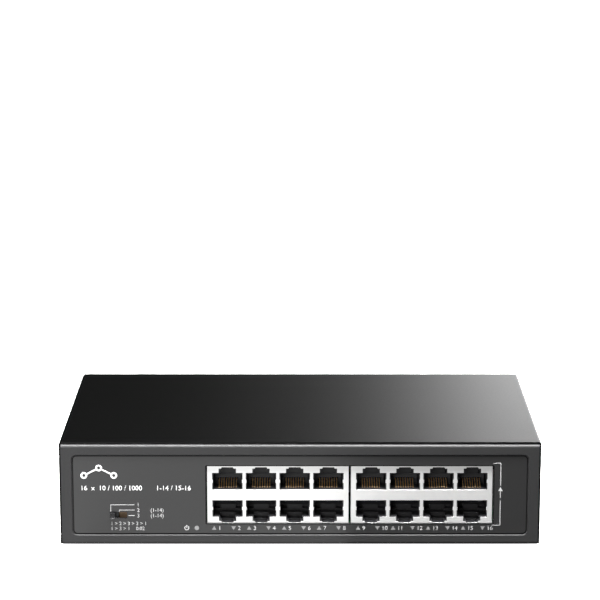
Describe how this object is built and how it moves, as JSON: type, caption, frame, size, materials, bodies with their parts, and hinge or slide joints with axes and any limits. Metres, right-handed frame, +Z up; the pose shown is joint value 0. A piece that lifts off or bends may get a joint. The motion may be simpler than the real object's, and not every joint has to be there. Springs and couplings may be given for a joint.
{
  "type": "desktop network switch",
  "caption": "Desktop Ethernet switch: folded steel case with stacked jack blocks, indicators and a sliding mode switch at the front and a mains inlet at the rear.",
  "frame": {"origin": "on the standing surface, at the middle of the whole switch's width and depth", "axes": "+Z up, the front panel with the ports faces -Y, +X to the right of someone facing the front"},
  "size_m": [0.2, 0.1186, 0.046],
  "materials": {
    "cover_paint": "black powder coat, fine texture",
    "front_paint": "dark grey powder coat, fine texture",
    "film": "printed matt film",
    "tinned_steel": "tin plated",
    "black_plastic": "moulded",
    "contact_gold": "gold flash over nickel",
    "clear_plastic": "clear acrylic",
    "lamp_body": "moulded",
    "brown_laminate": "phenolic laminate",
    "bronze": "phosphor bronze",
    "knob_plastic": "moulded nylon",
    "board_green": "solder mask",
    "plated_steel": "black zinc plated",
    "chip_black": "moulded epoxy",
    "aluminium": "extruded",
    "foot_rubber": "self-adhesive rubber",
    "thermal_grey": "silicone pad",
    "white_nylon": "moulded nylon",
    "capacitor_sleeve": "shrink sleeve",
    "insulating_film": "fibre sheet",
    "winding_tape": "polyester tape",
    "ferrite": "sintered ferrite and wire",
    "filter_yellow": "moulded box",
    "fuse_glass": "ceramic tube",
    "nickel_plate": "nickel plated",
    "lead_black": "PVC insulation",
    "lead_green": "PVC insulation",
    "lead_red": "PVC insulation"
  },
  "bodies": {
    "case": {"base_tray": "front_paint", "board_capacitors": "capacitor_sleeve", "bridge_rectifier": "chip_black", "buck_inductors": "chip_black", "bulk_capacitor": "capacitor_sleeve", "chip_heatsink": "aluminium", "clock_crystal": "tinned_steel", "cover_screws": "plated_steel", "earth_lead": "lead_green", "earth_screw": "plated_steel", "flash_memory": "chip_black", "front_film": "film", "inlet_pins": "nickel_plate", "inlet_screws": "plated_steel", "lamp_chips": "lamp_body", "lan_transformers": "chip_black", "light_pipe_bar": "clear_plastic", "main_board": "board_green", "main_board_header": "white_nylon", "main_board_pillars": "plated_steel", "main_board_plug": "white_nylon", "main_board_screws": "plated_steel", "mains_choke": "ferrite", "mains_filter_capacitor": "filter_yellow", "mains_inlet": "black_plastic", "mains_leads": "lead_black", "mode_switch_can": "tinned_steel", "mode_switch_terminals": "bronze", "mode_switch_wafer": "brown_laminate", "output_capacitors": "capacitor_sleeve", "port_contacts_left": "contact_gold", "port_contacts_right": "contact_gold", "port_housing_left": "black_plastic", "port_housing_right": "black_plastic", "port_shield_left": "tinned_steel", "port_shield_right": "tinned_steel", "power_transistor": "chip_black", "regulator_chips": "chip_black", "rubber_feet": "foot_rubber", "supply_board": "board_green", "supply_board_pillars": "plated_steel", "supply_board_screws": "plated_steel", "supply_fuse": "fuse_glass", "supply_headers": "white_nylon", "supply_heatsink": "aluminium", "supply_insulator": "insulating_film", "supply_leads": "lead_red", "supply_plugs": "white_nylon", "supply_transformer": "winding_tape", "switch_chip": "chip_black", "thermal_pad": "thermal_grey", "top_cover": "cover_paint"},
    "mode_slider": {"mode_knob": "knob_plastic", "mode_contact": "bronze"}
  },
  "joints": [
    {"name": "mode_slide", "type": "slide", "parent": "case", "child": "mode_slider", "axis": [1, 0, 0], "range_m": [0, 0.0048]}
  ]
}
